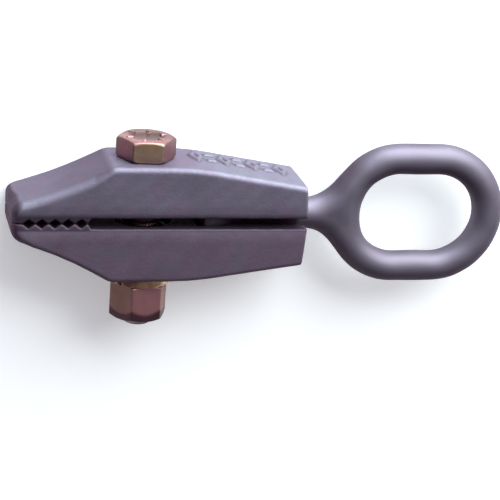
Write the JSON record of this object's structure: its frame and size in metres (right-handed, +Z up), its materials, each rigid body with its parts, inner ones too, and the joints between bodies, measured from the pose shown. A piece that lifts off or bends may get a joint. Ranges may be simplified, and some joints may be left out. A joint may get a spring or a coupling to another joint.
{
  "type": "pull clamp",
  "caption": "Self-tightening pull clamp: a pair of toothed forged jaws on a through bolt, wedged shut by the tapered head of an oval pull eye.",
  "frame": {"origin": "on the resting surface, under the middle of the clamp's bounding box", "axes": "the clamp lies on its side: +X runs along its length from the toothed nose to the pull eye, +Y along the bolt towards its head, +Z up, out of the jaws' side faces"},
  "size_m": [0.2315, 0.0886, 0.036],
  "materials": {
    "forged_upper": "matt forged and shot-blasted, slightly purple grey",
    "forged_lower": "matt forged and shot-blasted, slightly purple grey",
    "eye_steel": "satin, smooth forged",
    "bolt_plating": "yellow zinc plating, worn",
    "nut_plating": "yellow zinc plating, worn",
    "washer_plating": "yellow zinc plating",
    "spring_steel": "oiled spring wire"
  },
  "bodies": {
    "lower_jaw": {"lower_jaw": "forged_lower", "jaw_spring": "spring_steel"},
    "upper_jaw": {"upper_jaw": "forged_upper"},
    "clamp_bolt": {"clamp_bolt": "bolt_plating"},
    "clamp_nut": {"clamp_nut": "nut_plating", "lock_washer": "washer_plating"},
    "pull_eye": {"pull_eye": "eye_steel"}
  },
  "joints": [
    {"name": "jaw_open", "type": "hinge", "parent": "lower_jaw", "child": "upper_jaw", "pos_m": [-0.0132, 0.008, 0.018], "axis": [0, 0, -1], "range_deg": [0, 6], "deforming": ["jaw_spring"]},
    {"name": "bolt_turn", "type": "hinge", "parent": "upper_jaw", "child": "clamp_bolt", "pos_m": [-0.0552, 0.0341, 0.018], "axis": [0, 1, 0], "range_deg": [0, 938]},
    {"name": "nut_travel", "type": "slide", "parent": "upper_jaw", "child": "clamp_nut", "axis": [0, -1, 0], "range_m": [0, 0.00603]},
    {"name": "eye_swivel", "type": "hinge", "parent": "lower_jaw", "child": "pull_eye", "pos_m": [-0.0132, 0.008, 0.018], "axis": [1, 0, 0], "continuous": true}
  ],
  "couplings": [
    {"joint": "jaw_open", "follows": "bolt_turn", "ratio": 0.0063914},
    {"joint": "nut_travel", "follows": "bolt_turn", "m_per_rad": 0.0003675}
  ]
}
